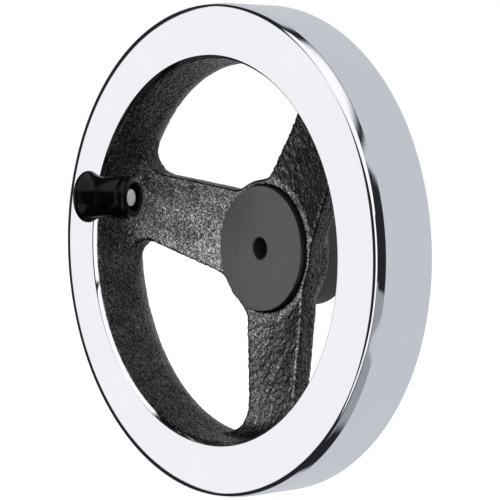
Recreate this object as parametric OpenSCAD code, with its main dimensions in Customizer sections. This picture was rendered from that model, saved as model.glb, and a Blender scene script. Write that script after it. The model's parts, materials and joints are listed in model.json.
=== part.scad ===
// Dished three-spoke handwheel with a plated rim and a fold-away revolving handle.
// The wheel's axis lies along Y with its front towards -Y, and +Z is up.
// The origin is the centre of the pilot bore at the rear face of the hub.

/* [Wheel] */
// Outside diameter of the rim
wheel_d = 200; // [196:1:210]
// Inside diameter of the polished front face
face_inner_d = 160; // [158:1:162]
// Depth of the rim from front to back
rim_depth = 30; // [28:1:34]
// Distance from the rear face of the hub to the front face of the rim
wheel_height = 59; // [57:0.5:62]
// Height of the bevel on the outer front edge
bevel_height = 5; // [3:0.5:6]
// Width of the bevel on the outer front edge
bevel_width = 1.2; // [0.8:0.1:2]

/* [Hub] */
// Diameter of the hub's front face
hub_d = 52; // [50:1:54]
// Diameter of the hub behind the spokes
hub_rear_d = 49.4; // [46:0.2:50]
// Length of the hub
hub_length = 30.5; // [29:0.5:32]
// Diameter of the pilot bore
bore_d = 9; // [6:0.5:14]

/* [Spokes] */
// Number of spokes
spoke_count = 3; // [3:1:3]
// Angle of the spoke beside the handle
spoke_angle = 164.5; // [162:0.5:167]
// Width of a spoke at the hub
spoke_root_w = 36.6; // [34:0.2:38]
// Width of a spoke at the rim
spoke_tip_w = 30.6; // [28:0.2:34]
// Thickness of a spoke
spoke_t = 8.5; // [7:0.5:10]
// Radius of the fillets where a spoke meets the boss
boss_fillet = 12; // [9:1:14]
// Radius of the fillets where a spoke meets the rim
rim_fillet = 9; // [7:1:10]

/* [Handle] */
// Angle at which the stowed handle points back below the rim's face
stow_tilt = 23.6; // [23:0.1:26]
// Angle by which the handle's bracket is turned on the rim
bracket_turn = 1.7; // [0:0.1:4]
// Greatest diameter of the grip's flare
flare_d = 22.2; // [21:0.2:23]
// Diameter of the grip at its free end
grip_d = 18.2; // [17:0.2:19]
// Length of the grip from the middle of its flare to its end face
grip_length = 22.4; // [21:0.2:24]
// Diameter of the handle spindle
spindle_d = 7; // [6:0.2:7]
// Diameter of the hinge pin
hinge_pin_d = 3.6; // [3.4:0.1:3.8]

/* [Hidden] */

smooth = 128;
small_smooth = 64;
bite = 1;                       // how far a cutter runs past the face it cuts

wheel_r = wheel_d / 2;
rim_back = wheel_height - rim_depth;
face_r = face_inner_d / 2;
lip = 1.2;                      // chamfer on the inner edge of the front face
plate_t = 3;                    // depth of the plated ring behind the front face
joint_r = 90;                   // where the plated ring meets the casting inside the rim
back_edge = 1.5;                // chamfer on the outer back edge
wall_back_r = 76;               // inner wall of the rim where its back corner starts
back_corner = 10;               // radius of the inner back corner

hub_r = hub_d / 2;
hub_edge = 0.5;                 // chamfer on the hub's ends
boss_r = 28.8;                  // cast boss round the hub
boss_front = 28.6;
boss_back = 16.5;

dish_slope = 0.312;             // rise of a spoke's front face for each millimetre outwards
dish_start_r = 27;
dish_start_z = 27.6;
dish_end_r = 86;
spoke_end_r = 84;               // corners of a spoke's outline, inside the rim
root_fillet = 7;                // fillet from a spoke's front face into the rim's wall

hinge_u = -76.9;                // hinge axis, measured in the wheel's own plane
hinge_v = 22.4;
hinge_rise = 4.4;               // hinge axis above the rim's front face
grip_rise = 8.6;                // grip axis from the hinge axis
flare_s = 6.6;                  // middle of the flare from the hinge axis, along the grip
flare_edge = 1.9;               // radius of the flare's rounded edge
end_s = flare_s + grip_length;
back_s = flare_s - flare_edge;

knuckle_r = 3.1;
lug_half = 1.8;                 // half the thickness of the spindle's lug
washer_t = 0.5;
play = 0.1;                     // gap between flat faces that turn past each other
fit_gap = 0.05;                 // radial gap of a running fit
ear_in = lug_half + 2 * play + washer_t;
ear_t = 1.8;
ear_out = ear_in + ear_t;
base_back = -8.4;               // back of the bracket's base from the hinge axis
base_front = 0.4;
base_half = 4.6;                // half the width of the base along the hinge axis
base_corner = 3.2;              // radius of the base's back corners
base_rise = 1.8;                // top of the base above the rim's face
base_sink = 2.2;                // depth of the base in its recess
screw_x = -5.2;
screw_r = 1.5;
screw_head_r = 2.3;
screw_length = 14;

flange_r = 6;
flange_s = 4;
flange_t = 1.4;
thrust_t = 0.8;
bush_r = 5;
bush_length = 5;
seat_r = 6.4;                   // counterbore in the flare for the flange and the thrust washer
seat_s = flange_s + flange_t + thrust_t + 2 * fit_gap;
grip_bore_r = 4.2;
recess_r = 5.9;                 // recess in the grip's end face
recess_depth = 4.2;
spindle_r = spindle_d / 2;
shoulder_s = end_s - recess_depth + 0.4;
end_washer_r = 5.2;
end_washer_t = 0.8;
end_head_r = 3.6;
end_head_t = 2;
end_thread_r = 2;
end_thread_length = 9;

function arc(cx, cy, r, from, to, steps) =
    [for (i = [0:steps]) let (t = from + (to - from) * i / steps) [cx + r * cos(t), cy + r * sin(t)]];

function dish_z(r) = dish_start_z + dish_slope * (r - dish_start_r);

// Turns the wheel's own frame, with its axis along Z, into the part's frame.
module in_wheel() {
    rotate([90, 0, 0]) children();
}

// The bracket's frame: hinge axis along Y through the origin, rim face below, +X inwards.
module in_bracket() {
    in_wheel()
        translate([hinge_u, hinge_v, wheel_height + hinge_rise])
            rotate([0, 0, -bracket_turn])
                children();
}

// The handle's frame: the bracket's frame tilted so that +X runs along the stowed grip.
module in_handle() {
    in_bracket() rotate([0, stow_tilt, 0]) children();
}

// The grip's frame: Z along the grip's axis, measured from the hinge axis.
module on_grip_axis() {
    in_handle() translate([0, 0, grip_rise]) rotate([0, 90, 0]) children();
}

module washer(outer_r, inner_r, thickness) {
    difference() {
        cylinder(r = outer_r, h = thickness, $fn = small_smooth);
        translate([0, 0, -bite]) cylinder(r = inner_r, h = thickness + 2 * bite, $fn = small_smooth);
    }
}

// Outline of the bracket's base, rounded at the back and straight at the front
module base_plan(front) {
    side = base_half - base_corner;
    hull() {
        for (y = [-side, side])
            translate([base_back + base_corner, y]) circle(r = base_corner, $fn = small_smooth);
        translate([front - 1, -base_half]) square([1, 2 * base_half]);
    }
}

// Recess and tapped hole for the handle's bracket, open towards the middle of the wheel
module bracket_seat() {
    translate([0, 0, -hinge_rise - base_sink]) {
        linear_extrude(base_sink + bite) base_plan(3);
        translate([screw_x, 0, -screw_length])
            cylinder(r = screw_r, h = screw_length + bite, $fn = small_smooth);
    }
}

module rim() {
    section = [
        [face_r - lip, wheel_height - lip],
        [face_r, wheel_height],
        [wheel_r - bevel_width, wheel_height],
        [wheel_r, wheel_height - bevel_height],
        [wheel_r, rim_back + back_edge],
        [wheel_r - back_edge, rim_back],
        [joint_r, rim_back],
        [joint_r, wheel_height - plate_t],
        [face_r, wheel_height - plate_t]
    ];
    color("gainsboro") difference() {
        in_wheel() rotate_extrude($fn = smooth) polygon(section);
        in_bracket() bracket_seat();
    }
}

// One long side of a spoke's outline, from the boss to a point inside the rim
function spoke_side() =
    let (
        boss_y = spoke_root_w / 2 + boss_fillet,
        boss_x = sqrt(pow(boss_r + boss_fillet, 2) - pow(boss_y, 2)),
        rim_y = spoke_tip_w / 2 + rim_fillet,
        rim_x = sqrt(pow(wall_back_r - rim_fillet, 2) - pow(rim_y, 2)),
        rim_angle = atan2(rim_y, rim_x)
    )
    concat(
        arc(boss_x, boss_y, boss_fillet, 180 + atan2(boss_y, boss_x), 270, 5),
        arc(rim_x, rim_y, rim_fillet, -90, rim_angle, 8),
        [[spoke_end_r * cos(rim_angle), spoke_end_r * sin(rim_angle)]]
    );

// Outline of one spoke seen along the wheel's axis, with filleted corners
module spoke_plan() {
    side = spoke_side();
    last = len(side) - 1;
    polygon(concat([[0, 0]], side, [for (i = [0:last]) [side[last - i][0], -side[last - i][1]]]));
}

module spokes() {
    fillet_r = wall_back_r + 1 - root_fillet;
    front = concat(
        [[hub_r - bite, dish_z(hub_r - bite)]],
        arc(fillet_r, dish_z(fillet_r) + root_fillet, root_fillet, -72, 0, 6),
        [[dish_end_r, dish_z(fillet_r) + root_fillet]]
    );
    back_drop = spoke_t * sqrt(1 + dish_slope * dish_slope);
    dish = concat(front, [
        [dish_end_r, dish_z(dish_end_r) - back_drop],
        [hub_r - bite, dish_z(hub_r - bite) - back_drop]
    ]);
    wall = concat(
        [[face_r - lip, wheel_height - lip], [face_r - 2 * lip, wheel_height - 2 * lip]],
        arc(wall_back_r + back_corner, rim_back + back_corner, back_corner, 180, 270, 6),
        [[joint_r, rim_back], [joint_r, wheel_height - plate_t], [face_r, wheel_height - plate_t]]
    );
    color("dimgray") difference() {
        in_wheel() {
            rotate_extrude($fn = smooth) polygon(wall);
            for (i = [0:spoke_count - 1])
                rotate(spoke_angle + i * 360 / spoke_count)
                    intersection() {
                        rotate_extrude($fn = smooth) polygon(dish);
                        linear_extrude(wheel_height) spoke_plan();
                    }
            translate([0, 0, boss_back])
                cylinder(r = boss_r, h = boss_front - boss_back, $fn = smooth);
        }
        in_wheel() translate([0, 0, -bite]) cylinder(r = hub_r, h = wheel_height, $fn = smooth);
        in_bracket() bracket_seat();
    }
}

module hub() {
    rear_r = hub_rear_d / 2;
    section = [
        [0, 0],
        [rear_r - 2 * hub_edge, 0],
        [rear_r, 2 * hub_edge],
        [rear_r, boss_back],
        [hub_r, boss_back],
        [hub_r, hub_length - hub_edge],
        [hub_r - hub_edge, hub_length],
        [0, hub_length]
    ];
    color("slategray") in_wheel() difference() {
        rotate_extrude($fn = smooth) polygon(section);
        translate([0, 0, -bite]) cylinder(r = bore_d / 2, h = hub_length + 2 * bite, $fn = small_smooth);
    }
}

// One ear of the bracket, with its outline in the X-Z plane
module ear(from) {
    ear_foot = -hinge_rise + base_rise;
    ear_back = -6.4;
    difference() {
        translate([0, from + ear_t, 0]) rotate([90, 0, 0]) {
            cylinder(r = knuckle_r, h = ear_t, $fn = small_smooth);
            linear_extrude(ear_t)
                polygon([
                    [ear_back, ear_foot - base_rise / 2], [ear_back, ear_foot + 0.9], [-2.9, 0.8], [0, 0.8],
                    [knuckle_r - 0.4, -1.4], [base_front - 0.2, ear_foot - base_rise / 2]
                ]);
        }
        translate([0, from + ear_t + bite, 0]) rotate([90, 0, 0])
            cylinder(r = hinge_pin_d / 2, h = ear_t + 2 * bite, $fn = small_smooth);
    }
}

module handle_bracket() {
    head_h = screw_head_r - screw_r;
    top = -hinge_rise + base_rise;
    color("dimgray") in_bracket() {
        difference() {
            translate([0, 0, -hinge_rise - base_sink])
                linear_extrude(base_sink + base_rise) base_plan(base_front);
            translate([screw_x, 0, -hinge_rise - base_sink - bite])
                cylinder(r = screw_r, h = base_sink + base_rise + 2 * bite, $fn = small_smooth);
            translate([screw_x, 0, top - head_h])
                cylinder(r1 = screw_r, r2 = screw_head_r, h = head_h, $fn = small_smooth);
            translate([0, ear_in, 0]) rotate([90, 0, 0])
                cylinder(r = knuckle_r + 3 * play, h = 2 * ear_in, $fn = small_smooth);
        }
        ear(ear_in);
        ear(-ear_in - ear_t);
    }
}

module bracket_screw() {
    head_h = screw_head_r - screw_r;
    top = -hinge_rise + base_rise;
    color("black") in_bracket() translate([screw_x, 0, 0]) difference() {
        union() {
            translate([0, 0, top - head_h])
                cylinder(r1 = screw_r, r2 = screw_head_r, h = head_h, $fn = small_smooth);
            translate([0, 0, top - screw_length])
                cylinder(r = screw_r, h = screw_length - head_h, $fn = small_smooth);
        }
        translate([0, 0, top - 1.2]) cylinder(r = 1.15, h = 1.2 + bite, $fn = 6);
    }
}

module hinge_pin() {
    head_t = 0.8;
    tail = 1.3;
    groove_t = 0.7;
    color("silver") in_bracket() rotate([90, 0, 0]) difference() {
        union() {
            translate([0, 0, -ear_out - head_t]) cylinder(r = 2.4, h = head_t, $fn = small_smooth);
            translate([0, 0, -ear_out])
                cylinder(r = hinge_pin_d / 2, h = 2 * ear_out + tail, $fn = small_smooth);
        }
        translate([0, 0, ear_out + play]) washer(hinge_pin_d, 1.35, groove_t);
    }
}

module hinge_clip() {
    clip_t = 0.6;
    color("dimgray") in_bracket() rotate([90, 0, 0]) translate([0, 0, ear_out + 1.5 * play]) difference() {
        cylinder(r = 2.5, h = clip_t, $fn = small_smooth);
        translate([0, 0, -bite]) cylinder(r = 1.4, h = clip_t + 2 * bite, $fn = small_smooth);
        translate([0, -1.1, -bite]) cube([4, 2.2, clip_t + 2 * bite]);
    }
}

module hinge_washers() {
    color("goldenrod") in_bracket() rotate([90, 0, 0])
        for (side = [-1, 1])
            translate([0, 0, side * (lug_half + play + washer_t / 2) - washer_t / 2])
                washer(knuckle_r - 0.1, hinge_pin_d / 2 + fit_gap, washer_t);
}

module handle_spindle() {
    stop = -hinge_rise + base_rise + play;
    color("silver") {
        in_handle() difference() {
            union() {
                translate([0, lug_half, 0]) rotate([90, 0, 0])
                    cylinder(r = knuckle_r, h = 2 * lug_half, $fn = small_smooth);
                translate([0, lug_half, 0]) rotate([90, 0, 0])
                    linear_extrude(2 * lug_half)
                        polygon([
                            [stop, 0], [stop, 3], [1.4, grip_rise], [2.9, grip_rise + 3],
                            [flange_s + flange_t / 2, grip_rise + 3.6], [flange_s + flange_t / 2, 3.4],
                            [flange_s - 0.2, 2.8], [knuckle_r - 0.5, 0]
                        ]);
                translate([flange_s, 0, grip_rise]) rotate([0, 90, 0])
                    cylinder(r = flange_r, h = flange_t, $fn = small_smooth);
                translate([flange_s, 0, grip_rise]) rotate([0, 90, 0])
                    cylinder(r = spindle_r, h = shoulder_s - flange_s, $fn = small_smooth);
            }
            translate([0, lug_half + bite, 0]) rotate([90, 0, 0])
                cylinder(r = hinge_pin_d / 2 + fit_gap, h = 2 * (lug_half + bite), $fn = small_smooth);
            translate([shoulder_s - end_thread_length, 0, grip_rise]) rotate([0, 90, 0])
                cylinder(r = end_thread_r, h = end_thread_length + bite, $fn = small_smooth);
        }
    }
}

module thrust_washer() {
    color("goldenrod") on_grip_axis()
        translate([0, 0, flange_s + flange_t + fit_gap])
            washer(flange_r, spindle_r + fit_gap, thrust_t);
}

module end_washer() {
    color("black") on_grip_axis()
        translate([0, 0, shoulder_s]) washer(end_washer_r, end_thread_r, end_washer_t);
}

module end_screw() {
    color("white") on_grip_axis() {
        translate([0, 0, shoulder_s + end_washer_t])
            cylinder(r = end_head_r, h = end_head_t, $fn = small_smooth);
        translate([0, 0, shoulder_s - end_thread_length + bite])
            cylinder(r = end_thread_r, h = end_thread_length + end_washer_t - bite, $fn = small_smooth);
    }
}

module grip() {
    flare_r = flare_d / 2;
    end_r = grip_d / 2;
    neck_r = end_r - 0.4;
    bead_s = end_s - 4;
    end_edge = 2.2;
    outside = concat(
        arc(flare_r - flare_edge, flare_s, flare_edge, -90, 30, 7),
        [
            [flare_r - 0.7, flare_s + 2], [flare_r - 1.25, flare_s + 3.2], [neck_r + 0.55, flare_s + 4.6],
            [neck_r + 0.15, flare_s + 6.2], [neck_r, flare_s + 8]
        ],
        [[end_r, bead_s]],
        arc(end_r - end_edge, end_s - end_edge, end_edge, 0, 90, 4)
    );
    inside = [
        [recess_r, end_s], [recess_r, end_s - recess_depth],
        [bush_r, end_s - recess_depth], [bush_r, end_s - recess_depth - bush_length],
        [grip_bore_r, end_s - recess_depth - bush_length], [grip_bore_r, seat_s + bush_length],
        [bush_r, seat_s + bush_length], [bush_r, seat_s], [seat_r, seat_s], [seat_r, back_s]
    ];
    color("black") on_grip_axis() rotate_extrude($fn = 96) polygon(concat(outside, inside));
}

module bush() {
    washer(bush_r, spindle_r + fit_gap, bush_length);
}

module rear_bush() {
    color("darkgoldenrod") on_grip_axis() translate([0, 0, seat_s]) bush();
}

module front_bush() {
    color("darkgoldenrod") on_grip_axis()
        translate([0, 0, end_s - recess_depth - bush_length]) bush();
}

rim();
spokes();
hub();
handle_bracket();
bracket_screw();
hinge_pin();
hinge_clip();
hinge_washers();
handle_spindle();
thrust_washer();
end_washer();
end_screw();
grip();
rear_bush();
front_bush();
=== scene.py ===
import json
import math

import bmesh
import bpy
from mathutils import Matrix, Vector, noise


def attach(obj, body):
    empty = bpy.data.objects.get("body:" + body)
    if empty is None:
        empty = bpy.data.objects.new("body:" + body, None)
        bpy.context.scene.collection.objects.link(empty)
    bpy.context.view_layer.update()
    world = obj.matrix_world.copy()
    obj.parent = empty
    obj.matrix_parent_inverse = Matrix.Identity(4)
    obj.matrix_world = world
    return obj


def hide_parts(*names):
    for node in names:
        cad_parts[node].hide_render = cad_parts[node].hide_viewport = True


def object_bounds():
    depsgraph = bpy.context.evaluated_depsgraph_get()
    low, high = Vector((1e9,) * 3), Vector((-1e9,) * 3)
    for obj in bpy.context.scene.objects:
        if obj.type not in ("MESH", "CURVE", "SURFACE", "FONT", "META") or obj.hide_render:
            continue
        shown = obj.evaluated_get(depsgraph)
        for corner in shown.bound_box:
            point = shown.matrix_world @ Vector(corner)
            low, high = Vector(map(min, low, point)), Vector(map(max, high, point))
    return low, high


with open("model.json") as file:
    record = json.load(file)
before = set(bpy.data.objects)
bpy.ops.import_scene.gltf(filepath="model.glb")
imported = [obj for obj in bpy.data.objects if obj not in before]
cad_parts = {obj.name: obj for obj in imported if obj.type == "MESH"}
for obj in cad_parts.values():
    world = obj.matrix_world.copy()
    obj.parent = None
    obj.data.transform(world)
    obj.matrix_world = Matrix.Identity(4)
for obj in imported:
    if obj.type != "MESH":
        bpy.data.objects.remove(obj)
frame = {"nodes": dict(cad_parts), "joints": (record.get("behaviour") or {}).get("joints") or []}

CAD_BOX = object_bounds()
MM = 0.001

# ---------------------------------------------------------------- local frames

NODES = frame["nodes"]
JOINTS = {joint["name"]: joint for joint in frame["joints"]}


def place_along(origin, axis, across):
    """A frame at origin with its Z along axis and its X as near to across as it can be."""
    z = Vector(axis).normalized()
    x = (Vector(across) - z * Vector(across).dot(z)).normalized()
    y = z.cross(x)
    turn = Matrix((x, y, z)).transposed().to_4x4()
    return Matrix.Translation(Vector(origin)) @ turn


def grip_axis():
    """The grip's frame: Z runs along the grip and starts level with the hinge pin."""
    hinge = Vector(JOINTS["handle_fold"]["pos_m"])
    spin = JOINTS["grip_spin"]
    along = Vector(spin["axis"]).normalized()
    point = Vector(spin["pos_m"])
    start = point - along * (point - hinge).dot(along)
    return place_along(start, along, JOINTS["handle_fold"]["axis"])


WHEEL = place_along((0, 0, 0), (0, -1, 0), (1, 0, 0))
HINGE = place_along(JOINTS["handle_fold"]["pos_m"], JOINTS["handle_fold"]["axis"], (1, 0, 0))
GRIP = grip_axis()


def span(node, place):
    """Lowest and highest point along a frame's Z, and least and greatest radius about it, in mm."""
    inverse = place.inverted()
    points = [inverse @ v.co for v in NODES[node].data.vertices]
    radii = [math.hypot(p.x, p.y) for p in points]
    heights = [p.z for p in points]
    return min(heights) / MM, max(heights) / MM, min(radii) / MM, max(radii) / MM


# ---------------------------------------------------------------- mesh helpers

def sine(degrees):
    return math.sin(math.radians(degrees))


def cosine(degrees):
    return math.cos(math.radians(degrees))


def arc(centre_r, centre_z, radius, start, end, steps):
    """Points of an arc in a lathe profile. 0 degrees points outwards and 90 degrees up the axis."""
    turns = [math.radians(start + (end - start) * i / steps) for i in range(steps + 1)]
    return [(centre_r + radius * math.cos(t), centre_z + radius * math.sin(t)) for t in turns]


def curve(a, b, c, d, steps):
    """Points of a Bezier curve from a to d."""
    points = []
    for i in range(steps + 1):
        t = i / steps
        s = 1 - t
        w = (s * s * s, 3 * s * s * t, 3 * s * t * t, t * t * t)
        points.append(tuple(w[0] * a[k] + w[1] * b[k] + w[2] * c[k] + w[3] * d[k] for k in (0, 1)))
    return points


def shade(bm, sharp_angle):
    """Smooth shading with sharp edges above an angle in degrees."""
    for face in bm.faces:
        face.smooth = True
    for edge in bm.edges:
        if len(edge.link_faces) == 2:
            edge.smooth = edge.calc_face_angle(0) < math.radians(sharp_angle)


def to_object(bm, name, material, sharp_angle=35):
    """Turns a bmesh in the row frame into an object with one material."""
    bmesh.ops.recalc_face_normals(bm, faces=bm.faces)
    shade(bm, sharp_angle)
    mesh = bpy.data.meshes.new(name)
    bm.to_mesh(mesh)
    bm.free()
    mesh.materials.append(material)
    piece = bpy.data.objects.new(name, mesh)
    bpy.context.scene.collection.objects.link(piece)
    return piece


def clean(profile):
    """A closed profile without points that repeat the one before."""
    apart = 1e-4
    points = []
    for point in profile:
        if not points or math.dist(point, points[-1]) > apart:
            points.append(point)
    if math.dist(points[0], points[-1]) < apart:
        points.pop()
    return points


def add_lathe(bm, profile, place, steps):
    """Adds a closed profile of (radius, height) in mm, turned about a frame's Z."""
    points = clean(profile)
    rings = []
    for i in range(steps):
        turn = 2 * math.pi * i / steps
        c, s = math.cos(turn), math.sin(turn)
        ring = [Vector((r * MM * c, r * MM * s, z * MM)) for r, z in points]
        rings.append([bm.verts.new(place @ point) for point in ring])
    for i in range(steps):
        here, there = rings[i], rings[(i + 1) % steps]
        for k in range(len(points)):
            n = (k + 1) % len(points)
            bm.faces.new((here[k], there[k], there[n], here[n]))
    # The points that meet on the axis become one.
    bmesh.ops.remove_doubles(bm, verts=bm.verts, dist=1e-7)


def lathe(name, profile, place, material, steps=256, sharp_angle=35):
    """A turned piece."""
    bm = bmesh.new()
    add_lathe(bm, profile, place, steps)
    return to_object(bm, name, material, sharp_angle)


def ring_profile(inner, outer, low, high, edge):
    """A washer's or bush's section with rounded edges."""
    return (
        arc(outer - edge, low + edge, edge, -90, 0, 4)
        + arc(outer - edge, high - edge, edge, 0, 90, 4)
        + arc(inner + edge, high - edge, edge, 90, 180, 4)
        + arc(inner + edge, low + edge, edge, 180, 270, 4)
    )


def refined(name, node, material, edge):
    """A copy of a CAD node with its sharp edges rounded, edge in mm."""
    bm = bmesh.new()
    bm.from_mesh(NODES[node].data)
    bmesh.ops.remove_doubles(bm, verts=bm.verts, dist=2e-6)
    flat = math.radians(0.6)
    corner = math.radians(32)
    bmesh.ops.dissolve_limit(bm, angle_limit=flat, verts=bm.verts, edges=bm.edges)
    corners = [e for e in bm.edges if len(e.link_faces) == 2 and e.calc_face_angle(0) > corner]
    bmesh.ops.bevel(
        bm,
        geom=corners,
        offset=edge * MM,
        segments=3,
        profile=0.5,
        affect="EDGES",
        clamp_overlap=True,
    )
    return to_object(bm, name, material)


def finish_piece(piece, body, slot, *nodes):
    """Sets what a piece rides on and hides the CAD nodes it stands for. The finish named in slot is not
    used.
    """
    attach(piece, body)
    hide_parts(*nodes)
    return piece


# ---------------------------------------------------------------- material helpers

class Nodes:
    """Short names for the nodes that the materials are made of."""

    def __init__(self, name):
        self.material = bpy.data.materials.new(name)
        self.material.use_nodes = True
        self.tree = self.material.node_tree
        self.shader = self.tree.nodes["Principled BSDF"]
        self.place = self.add("ShaderNodeTexCoord").outputs["Object"]

    def add(self, kind, **values):
        node = self.tree.nodes.new(kind)
        for key, value in values.items():
            setattr(node, key, value)
        return node

    def link(self, source, target):
        self.tree.links.new(source, target)

    def set(self, **values):
        for key, value in values.items():
            self.shader.inputs[key.replace("_", " ")].default_value = value

    def noise(self, size, detail=2.0, roughness=0.5, distortion=0.0):
        """Noise whose features are about size mm across."""
        texture = self.add("ShaderNodeTexNoise")
        texture.inputs["Scale"].default_value = 1 / (size * MM)
        texture.inputs["Detail"].default_value = detail
        texture.inputs["Roughness"].default_value = roughness
        texture.inputs["Distortion"].default_value = distortion
        self.link(self.place, texture.inputs["Vector"])
        return texture.outputs["Fac"]

    def cells(self, size):
        """Distance to the nearest of points about size mm apart."""
        texture = self.add("ShaderNodeTexVoronoi")
        texture.inputs["Scale"].default_value = 1 / (size * MM)
        self.link(self.place, texture.inputs["Vector"])
        return texture.outputs["Distance"]

    def radius(self, place):
        """Distance from a frame's Z, in metres."""
        offset = self.add("ShaderNodeVectorMath", operation="SUBTRACT")
        offset.inputs[1].default_value = place.translation
        self.link(self.place, offset.inputs[0])
        along = self.add("ShaderNodeVectorMath", operation="CROSS_PRODUCT")
        along.inputs[1].default_value = place.col[2].to_3d()
        self.link(offset.outputs["Vector"], along.inputs[0])
        radius = self.add("ShaderNodeVectorMath", operation="LENGTH")
        self.link(along.outputs["Vector"], radius.inputs[0])
        return radius.outputs["Value"]

    def rings(self, place, pitch):
        """Fine turned rings about a frame's Z, pitch in mm."""
        line = self.add("ShaderNodeCombineXYZ")
        self.link(self.radius(place), line.inputs["X"])
        texture = self.add("ShaderNodeTexNoise")
        texture.inputs["Scale"].default_value = 1 / (pitch * MM)
        texture.inputs["Detail"].default_value = 2.0
        self.link(line.outputs["Vector"], texture.inputs["Vector"])
        return texture.outputs["Fac"]

    def facing(self, axis):
        """1 where the surface faces along an axis, 0 where it's square to it."""
        dot = self.add("ShaderNodeVectorMath", operation="DOT_PRODUCT")
        dot.inputs[1].default_value = axis
        self.link(self.add("ShaderNodeNewGeometry").outputs["Normal"], dot.inputs[0])
        return dot.outputs["Value"]

    def times(self, a, b):
        """The product of two values."""
        node = self.add("ShaderNodeMath", operation="MULTIPLY")
        self.link(a, node.inputs[0])
        self.link(b, node.inputs[1])
        return node.outputs["Value"]

    def spread(self, source, low, high, source_low=0.3, source_high=0.7):
        """Maps a texture's value to a range."""
        node = self.add("ShaderNodeMapRange")
        node.inputs["From Min"].default_value = source_low
        node.inputs["From Max"].default_value = source_high
        node.inputs["To Min"].default_value = low
        node.inputs["To Max"].default_value = high
        self.link(source, node.inputs["Value"])
        return node.outputs["Result"]

    def colours(self, source, *stops):
        """A colour ramp with stops of (position, colour)."""
        node = self.add("ShaderNodeValToRGB")
        ramp = node.color_ramp
        for i, (position, colour) in enumerate(stops):
            stop = ramp.elements[i] if i < 2 else ramp.elements.new(position)
            stop.position = position
            stop.color = (*colour, 1)
        self.link(source, node.inputs["Fac"])
        return node.outputs["Color"]

    def bump(self, height, depth, below=None):
        """Adds bumps of a depth in mm on top of those below."""
        node = self.add("ShaderNodeBump")
        node.inputs["Distance"].default_value = depth * MM
        self.link(height, node.inputs["Height"])
        if below is not None:
            self.link(below, node.inputs["Normal"])
        return node.outputs["Normal"]

    def base(self, colour):
        self.link(colour, self.shader.inputs["Base Color"])

    def rough(self, value):
        self.link(value, self.shader.inputs["Roughness"])

    def normal(self, value):
        self.link(value, self.shader.inputs["Normal"])


def grey(value):
    return (value, value, value)


# ---------------------------------------------------------------- materials

def chrome_plate():
    """Polished chrome with a faint haze and the slight waves of a hand-polished casting."""
    m = Nodes("chrome_plate")
    m.set(Metallic=1.0)
    m.base(m.colours(m.noise(18, 3), (0.3, (0.868, 0.862, 0.91)), (0.7, (0.882, 0.877, 0.922))))
    m.rough(m.spread(m.noise(5, 4, 0.6), 0.035, 0.075))
    waves = m.bump(m.noise(14, 1), 0.035)
    m.normal(m.bump(m.noise(0.5, 3, 0.6), 0.0006, waves))
    return m.material


def crinkle_casting():
    """Black crinkle paint over sand-cast iron. The crests reflect more, and a painted highlight makes every
    surface turned to the front reflect more still.
    """
    m = Nodes("crinkle_casting")
    m.set(Metallic=1.0)
    crests = m.noise(0.9, 2.5, 0.6, 0.5)
    patches = m.spread(m.noise(11, 2, 0.5, 0.8), 0.65, 1.25)
    # Painted highlight and painted shade: the colour rises to 1.4 times on surfaces turned towards this
    # direction and drops to 0.18 on those turned away.
    painted_light_facing = (0.3, -0.95, 0)
    front = m.spread(m.facing(painted_light_facing), 0.18, 1.4, 0.85, 1.0)
    m.base(m.times(m.times(m.spread(crests, 0.16, 0.74, 0.42, 0.62), front), patches))
    m.rough(m.spread(crests, 0.42, 0.2, 0.4, 0.62))
    grain = m.bump(m.noise(1.7, 2, 0.55, 0.3), 0.9)
    m.normal(m.bump(crests, 0.3, grain))
    return m.material


def machined_hub():
    """Blackened, finely turned iron, with painted shade that makes its sides and its bore darkest."""
    m = Nodes("machined_hub")
    m.set(Metallic=0.6)
    # Painted shade: the colour drops to about a third where the surface turns away from the front, as on the
    # sides and in the bore.
    front = m.spread(m.facing((0, -1, 0)), 0.35, 1.0, 0.0, 0.5)
    m.base(m.times(m.spread(m.noise(9, 4, 0.55), 0.18, 0.2), front))
    m.rough(m.spread(m.rings(WHEEL, 0.4), 0.5, 0.56))
    turned = m.bump(m.rings(WHEEL, 0.22), 0.0006)
    m.normal(m.bump(m.noise(0.35, 3), 0.001, turned))
    return m.material


def blackened_steel():
    """Black-oxide steel with rubbed patches."""
    m = Nodes("blackened_steel")
    m.set(Metallic=1.0)
    m.base(m.colours(m.noise(2.2, 5, 0.65), (0.35, grey(0.022)), (0.62, grey(0.04)), (0.8, grey(0.11))))
    m.rough(m.spread(m.noise(1.1, 4), 0.3, 0.48))
    m.normal(m.bump(m.noise(0.3, 3), 0.004))
    return m.material


def bright_steel():
    """Turned steel with a pale, milky zinc plating."""
    m = Nodes("bright_steel")
    m.set(Metallic=0.15)
    m.base(m.colours(m.noise(1.6, 4), (0.3, grey(0.93)), (0.7, grey(0.99))))
    m.rough(m.spread(m.rings(GRIP, 0.15), 0.3, 0.42))
    m.normal(m.bump(m.rings(GRIP, 0.12), 0.0015))
    return m.material


def bronze():
    """Sintered bronze with fine pores."""
    m = Nodes("bronze")
    m.set(Metallic=1.0)
    m.base(m.colours(m.noise(0.5, 4), (0.35, (0.34, 0.2, 0.08)), (0.7, (0.66, 0.45, 0.2))))
    m.rough(m.spread(m.noise(0.8, 3), 0.32, 0.5))
    m.normal(m.bump(m.cells(0.18), 0.008))
    return m.material


def black_plastic():
    """Glossy moulded black plastic with faint wear."""
    m = Nodes("black_plastic")
    m.set(IOR=1.27)
    m.base(m.colours(m.noise(6, 4), (0.3, grey(0.002)), (0.75, grey(0.005))))
    m.rough(m.spread(m.noise(2.5, 5, 0.65), 0.16, 0.26))
    m.normal(m.bump(m.noise(3.5, 2), 0.012))
    return m.material


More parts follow.
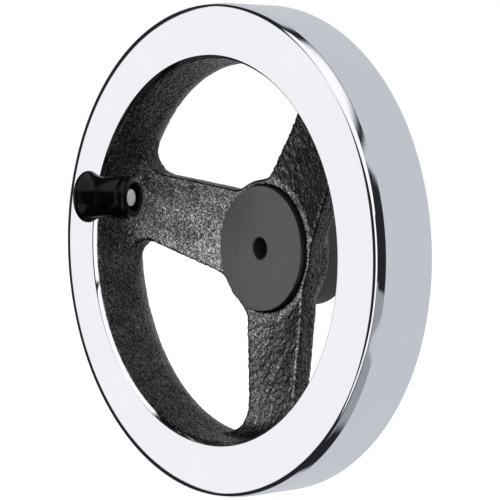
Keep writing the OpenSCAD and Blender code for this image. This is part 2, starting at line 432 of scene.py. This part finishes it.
def pale_floor():
    """A plain pale studio floor, lit evenly."""
    m = Nodes("pale_floor")
    m.base(m.colours(m.noise(300, 2), (0.3, grey(0.24)), (0.7, grey(0.26))))
    m.set(Roughness=0.9)
    m.shader.inputs["Emission Color"].default_value = (1, 1, 1, 1)
    m.shader.inputs["Emission Strength"].default_value = 0.93
    return m.material


# ---------------------------------------------------------------- wheel

def plated_rim(material):
    """The chrome-plated ring: flat face, rolled edge, slight taper, outer band and rounded back."""
    back, front, inner_r, wheel_r = span("rim", WHEEL)
    joint_r = span("spokes", WHEEL)[3]
    face_r = inner_r + 0.1
    # Radii of the rolled edge's arcs, and how far the surface has tilted outwards where each ends.
    roll, corner, shoulder, blend = 8.0, 1.3, 3.0, 6.0
    roll_end, corner_end, taper = 20, 60, 81
    taper_length = 2.9
    back_round = 1.4

    # The rolled edge is worked out from the outer band back to the face.
    roll_width = (
        roll * sine(roll_end)
        + corner * (sine(corner_end) - sine(roll_end))
        + shoulder * (sine(taper) - sine(corner_end))
        + taper_length * cosine(taper)
        + blend * (1 - sine(taper))
    )
    flat_r = wheel_r - roll_width
    points = [(flat_r, front)]

    def bend(radius, start, end, steps):
        """Carries the profile on along an arc whose normal tilts outwards from start to end degrees."""
        r0, z0 = points[-1]
        for i in range(1, steps + 1):
            tilt = start + (end - start) * i / steps
            outwards = radius * (sine(tilt) - sine(start))
            backwards = radius * (cosine(start) - cosine(tilt))
            points.append((r0 + outwards, z0 - backwards))

    bend(roll, 0, roll_end, 8)
    bend(corner, roll_end, corner_end, 8)
    bend(shoulder, corner_end, taper, 8)
    r0, z0 = points[-1]
    points.append((r0 + taper_length * cosine(taper), z0 - taper_length * sine(taper)))
    bend(blend, taper, 90, 5)
    back_edge = arc(wheel_r - back_round, back + back_round, back_round, 0, -90, 8)

    # The lip is a shallow arc that leads back from the opening's rounded edge.
    lip_round, lip_start, lip_stop, edge = 24, 145, 149, 0.5
    edge_r = face_r + 0.4
    lip_r = edge_r + (edge - lip_round) * cosine(lip_start)
    lip_z = front - edge + (edge - lip_round) * sine(lip_start)
    lip = arc(lip_r, lip_z, lip_round, lip_stop, lip_start, 6)
    plate_z = front - 4
    chamfer = 0.3
    profile = (
        points
        + back_edge
        + [(joint_r + chamfer, back), (joint_r, back + chamfer), (joint_r, plate_z), (face_r + 1.5, plate_z)]
        + lip
        + arc(edge_r, front - edge, edge, lip_start, 90, 6)
    )
    rim = lathe("rim_plating", profile, WHEEL, material, 720, 28)
    return finish_piece(rim, "wheel", "chrome_plate", "rim")


def remeshed(source, voxel, passes):
    """A new mesh: a voxel remesh of a CAD node, smoothed a number of times to soften its edges."""
    bm = bmesh.new()
    bm.from_mesh(source.data)
    bmesh.ops.remove_doubles(bm, verts=bm.verts, dist=2e-6)
    mesh = bpy.data.meshes.new("casting_start")
    bm.to_mesh(mesh)
    bm.free()
    start = bpy.data.objects.new("casting_start", mesh)
    bpy.context.scene.collection.objects.link(start)
    remesh = start.modifiers.new("voxels", "REMESH")
    remesh.mode = "VOXEL"
    remesh.voxel_size = voxel * MM
    soften = start.modifiers.new("soften", "SMOOTH")
    soften.factor = 0.5
    soften.iterations = passes
    result = bpy.data.meshes.new_from_object(start.evaluated_get(bpy.context.evaluated_depsgraph_get()))
    bpy.data.objects.remove(start)
    bpy.data.meshes.remove(mesh)
    return result


def casting_grain(point):
    """Height of the crinkled sand-cast surface at a point, in mm."""
    fine = noise.noise(point / (2.0 * MM))
    crinkle = 1 - 2.4 * abs(noise.noise(point / (3.2 * MM) + Vector((7, 3, 5))))
    lumps = noise.noise(point / (9 * MM) + Vector((1, 9, 4)))
    return 0.13 * fine + 0.1 * crinkle + 0.09 * lumps - 0.13


def wheel_casting(material):
    """The inner wall, spokes and boss as one rough casting."""
    front = span("spokes", WHEEL)[1]
    # Outside this radius, the wall opens a little over its last stretch towards the lip.
    wall_from = 60
    lip_rise = 12.6
    lip_open = 0.3
    inverse = WHEEL.inverted()
    mesh = remeshed(NODES["spokes"], 0.9, 9)
    bm = bmesh.new()
    bm.from_mesh(mesh)
    bpy.data.meshes.remove(mesh)
    bm.normal_update()
    for vertex in bm.verts:
        local = inverse @ vertex.co / MM
        radius = math.hypot(local.x, local.y)
        push = vertex.normal * casting_grain(vertex.co) * MM
        if radius > wall_from and local.z > front - lip_rise:
            opening = lip_open * ((local.z - front + lip_rise) / lip_rise) ** 2
            outward = WHEEL.to_3x3() @ Vector((local.x, local.y, 0)).normalized()
            push = push + outward * opening * MM
        vertex.co += push
    casting = to_object(bm, "wheel_casting", material, 180)
    return finish_piece(casting, "wheel", "crinkle_casting", "spokes")


def turned_hub(material):
    """The machined hub with rounded ends and a drilled pilot bore, a little slimmer behind the boss."""
    rear, front, bore_r, hub_r = span("hub", WHEEL)
    boss_back = 16.5
    rear_r = hub_r - 1.3
    rear_edge = 1
    edge = 0.45
    bore_edge = 0.5
    profile = (
        [(bore_r + bore_edge, rear), (rear_r - rear_edge, rear)]
        + arc(rear_r - rear_edge, rear + rear_edge, rear_edge, -90, 0, 4)
        + [(rear_r, boss_back), (hub_r, boss_back)]
        + arc(hub_r - edge, front - edge, edge, 0, 90, 5)
        + [(bore_r + bore_edge, front), (bore_r, front - bore_edge), (bore_r, rear + bore_edge)]
    )
    hub = lathe("turned_hub", profile, WHEEL, material, 256, 28)
    return finish_piece(hub, "wheel", "machined_hub", "hub")


# ---------------------------------------------------------------- handle

def moulded_grip(material):
    """The black grip: trumpet flare, barrel with a bead and a rounded end, and a recess for the screw."""
    back, end, _, flare_r = span("grip", GRIP)
    edge = 1.9
    flare_z = back + edge
    seat_z = span("rear_bush", GRIP)[0]
    seat_r = 6.4
    bush_r = span("rear_bush", GRIP)[3]
    recess_r = 5.9
    recess_z = span("front_bush", GRIP)[1]
    end_r = flare_r - 2.0
    neck_r = end_r - 0.4
    bead_z = end - 4.6
    groove = 0.3
    round_end = 2.3
    flare = arc(flare_r - edge, flare_z, edge, -90, 32, 18)
    leave_r, leave_z = flare[-1]
    leaning = (leave_r - 0.95, leave_z + 1.7)
    levelling = (neck_r + 0.1, flare_z + 4.2)
    neck = curve((leave_r, leave_z), leaning, levelling, (neck_r, flare_z + 8.2), 16)
    groove_r = end_r - groove
    bead = 0.45
    outside = (
        flare
        + neck
        + [(end_r - 0.05, bead_z - 0.5), (groove_r, bead_z - 0.15), (groove_r, bead_z + 0.15)]
        + arc(end_r - bead, bead_z + 0.75, bead, -50, 0, 4)
        + arc(end_r - round_end, end - round_end, round_end, 0, 88, 12)
    )
    inside = (
        arc(recess_r + 0.3, end - 0.3, 0.3, 90, 180, 4)
        + [(recess_r, recess_z), (bush_r, recess_z), (bush_r, seat_z), (seat_r, seat_z)]
        + arc(seat_r + 0.4, back + 0.4, 0.4, 180, 270, 4)
    )
    grip = lathe("moulded_grip", outside + inside, GRIP, material, 256, 40)
    return finish_piece(grip, "grip", "black_plastic", "grip")


def handle_ring(name, node, body, slot, material, edge):
    """A washer or a bush on the grip's axis."""
    low, high, inner, outer = span(node, GRIP)
    ring = lathe(name, ring_profile(inner, outer, low, high, edge), GRIP, material, 96)
    return finish_piece(ring, body, slot, node)


def friction_washers(material):
    """The two sprung washers either side of the spindle's lug."""
    low, high, inner, outer = span("hinge_washers", HINGE)
    thickness = 0.5
    bm = bmesh.new()
    for start in (low, high - thickness):
        add_lathe(bm, ring_profile(inner, outer, start, start + thickness, 0.1), HINGE, 96)
    washers = to_object(bm, "friction_washers", material)
    return finish_piece(washers, "wheel", "bronze", "hinge_washers")


def grip_screw(material):
    """The bright screw in the grip's end."""
    low, high, _, head_r = span("end_screw", GRIP)
    head_low = high - 2
    shank_r = 2
    point = 0.3
    under = 0.15
    edge = 0.35
    dome = 0.3
    dome_start = (head_r - edge * 0.5, high - dome - edge * 0.13)
    profile = (
        [(0, low), (shank_r - point, low), (shank_r, low + point), (shank_r, head_low)]
        + arc(head_r - under, head_low + under, under, -90, 0, 3)
        + arc(head_r - edge, high - dome - edge, edge, 0, 60, 6)
        + curve(dome_start, (head_r * 0.7, high), (head_r * 0.3, high), (0, high), 8)
    )
    screw = lathe("grip_screw", profile, GRIP, material, 128)
    return finish_piece(screw, "handle_arm", "bright_steel", "end_screw")


def rounded_node(name, node, body, slot, material, edge):
    """A CAD node with its edges rounded."""
    return finish_piece(refined(name, node, material, edge), body, slot, node)


def build_object():
    """Every visible piece of the wheel and its handle."""
    chrome = chrome_plate()
    black_steel = blackened_steel()
    steel = bright_steel()
    bush_bronze = bronze()
    plated_rim(chrome)
    wheel_casting(crinkle_casting())
    turned_hub(machined_hub())
    moulded_grip(black_plastic())
    handle_ring("grip_rear_bush", "rear_bush", "grip", "bronze", bush_bronze, 0.25)
    handle_ring("grip_front_bush", "front_bush", "grip", "bronze", bush_bronze, 0.25)
    handle_ring("flange_washer", "thrust_washer", "handle_arm", "bronze", bush_bronze, 0.15)
    handle_ring("screw_washer", "end_washer", "handle_arm", "blackened_steel", black_steel, 0.15)
    friction_washers(bush_bronze)
    grip_screw(steel)
    rounded_node("spindle_and_lug", "handle_spindle", "handle_arm", "bright_steel", steel, 0.25)
    rounded_node("rim_bracket", "handle_bracket", "wheel", "blackened_steel", black_steel, 0.35)
    rounded_node("socket_screw", "bracket_screw", "wheel", "blackened_steel", black_steel, 0.12)
    rounded_node("headed_pin", "hinge_pin", "wheel", "bright_steel", steel, 0.2)
    rounded_node("pin_clip", "hinge_clip", "wheel", "blackened_steel", black_steel, 0.08)


# ---------------------------------------------------------------- studio

class Studio:
    """White and grey panels on the walls of a dark room, seen in the object's reflections."""

    def __init__(self):
        self.world = bpy.data.worlds.new("studio")
        self.world.use_nodes = True
        self.tree = self.world.node_tree
        self.tree.nodes.clear()
        self.direction = self.add("ShaderNodeTexCoord").outputs["Generated"]
        self.light = None

    def add(self, kind):
        return self.tree.nodes.new(kind)

    def math(self, operation, a, b):
        node = self.add("ShaderNodeMath")
        node.operation = operation
        for socket, value in zip(node.inputs, (a, b)):
            if isinstance(value, (int, float)):
                socket.default_value = value
            else:
                self.tree.links.new(value, socket)
        return node.outputs[0]

    def along(self, axis):
        """How far the direction runs along an axis."""
        node = self.add("ShaderNodeVectorMath")
        node.operation = "DOT_PRODUCT"
        node.inputs[1].default_value = axis
        self.tree.links.new(self.direction, node.inputs[0])
        return node.outputs["Value"]

    def rise(self, value, start, end):
        """Rises softly from 0 to 1 between two values."""
        node = self.add("ShaderNodeMapRange")
        node.interpolation_type = "SMOOTHSTEP"
        node.inputs["From Min"].default_value = start
        node.inputs["From Max"].default_value = end
        self.tree.links.new(value, node.inputs["Value"])
        return node.outputs["Result"]

    def panel(self, facing, across, width, height, strength, soft):
        """A panel square to a direction. Its width runs along across. The edges are given as tangents."""
        facing = Vector(facing).normalized()
        across = (Vector(across) - facing * facing.dot(Vector(across))).normalized()
        upward = across.cross(facing)
        depth = self.along(facing)
        shape = self.rise(depth, 0.02, 0.06)
        for axis, (low, high) in ((across, width), (upward, height)):
            place = self.math("DIVIDE", self.along(axis), self.math("MAXIMUM", depth, 0.01))
            shape = self.math("MULTIPLY", shape, self.rise(place, low - soft, low + soft))
            behind = self.math("MULTIPLY", place, -1.0)
            shape = self.math("MULTIPLY", shape, self.rise(behind, -high - soft, -high + soft))
        shape = self.math("MULTIPLY", shape, strength)
        self.light = shape if self.light is None else self.math("MAXIMUM", self.light, shape)

    def finish(self, room):
        """White to the camera, the panels over a dim room to everything else. Greys lean to blue."""
        light = self.math("MAXIMUM", self.light, room)
        dimness = self.math("SUBTRACT", 1.0, light)
        colour = self.add("ShaderNodeCombineColor")
        for channel, cast in (("Red", -0.1), ("Green", 0.0), ("Blue", 0.1)):
            gain = self.math("ADD", self.math("MULTIPLY", dimness, cast), 1.0)
            self.tree.links.new(self.math("MULTIPLY", light, gain), colour.inputs[channel])
        panels = self.add("ShaderNodeBackground")
        self.tree.links.new(colour.outputs["Color"], panels.inputs["Color"])
        white = self.add("ShaderNodeBackground")
        white.inputs["Color"].default_value = (1, 1, 1, 1)
        mix = self.add("ShaderNodeMixShader")
        self.tree.links.new(self.add("ShaderNodeLightPath").outputs["Is Camera Ray"], mix.inputs["Fac"])
        self.tree.links.new(panels.outputs["Background"], mix.inputs[1])
        self.tree.links.new(white.outputs["Background"], mix.inputs[2])
        output = self.add("ShaderNodeOutputWorld")
        self.tree.links.new(mix.outputs["Shader"], output.inputs["Surface"])
        bpy.context.scene.world = self.world


def build_studio():
    """Softboxes and walls as the wheel sees them. Each is square to the direction that comes first."""
    right, back, up = Vector((1, 0, 0)), Vector((0, 1, 0)), Vector((0, 0, 1))
    turned = math.radians(-36.5)
    front_left = Vector((math.sin(turned), -math.cos(turned), 0))
    studio = Studio()
    # The white wall in front on the left, which the chrome face reflects.
    studio.panel(front_left, up.cross(front_left), (-0.42, 0.44), (-0.65, 0.6), 1.0, 0.03)
    # A softbox on the right.
    studio.panel(right, back, (-0.73, -0.04), (-0.32, 0.9), 1.15, 0.03)
    # The ceiling.
    studio.panel(up, right, (-0.24, 4.0), (-0.6, 1.58), 1.1, 0.05)
    # The ground to the right, white in front and grey behind.
    studio.panel(-up, right, (0.35, 3.0), (-1.2, -0.12), 1.0, 0.06)
    studio.panel(-up, right, (0.14, 4.5), (0.12, 1.6), 0.34, 0.1)
    # The grey wall behind, which the outer band reflects, with a white patch in its middle.
    studio.panel(back, right, (-1.45, 1.75), (-1.45, 1.45), 0.62, 0.08)
    studio.panel(back, right, (-0.4, 0.4), (-0.4, 0.4), 1.15, 0.1)
    studio.finish(0.02)


def build_floor():
    """A plain pale floor just under the wheel."""
    low = CAD_BOX[0][2]
    gap = 0.5 * MM
    half = 3.0
    bm = bmesh.new()
    bmesh.ops.create_grid(bm, x_segments=8, y_segments=8, size=half)
    bmesh.ops.translate(bm, verts=bm.verts, vec=(0, 0, low - gap))
    floor = to_object(bm, "floor", pale_floor())
    floor.visible_glossy = False
    floor.visible_diffuse = False


def build_camera():
    """The camera of a front three-quarter view, a little above the wheel's axis."""
    aim = Vector((11.4, -45.05, 0.21)) * MM
    distance = 793.6 * MM
    azimuth, elevation, roll = (math.radians(a) for a in (50.2, 2.36, -0.79))
    turn = (
        Matrix.Rotation(azimuth, 4, "Z")
        @ Matrix.Rotation(math.pi / 2 - elevation, 4, "X")
        @ Matrix.Rotation(roll, 4, "Z")
    )
    data = bpy.data.cameras.new("camera")
    data.sensor_width = 36
    data.lens = 141.2
    camera = bpy.data.objects.new("camera", data)
    camera.matrix_world = Matrix.Translation(aim) @ turn @ Matrix.Translation((0, 0, distance))
    bpy.context.scene.collection.objects.link(camera)
    bpy.context.scene.camera = camera


build_camera()
build_studio()
build_floor()
build_object()
bpy.context.scene.view_settings.view_transform = "Standard"
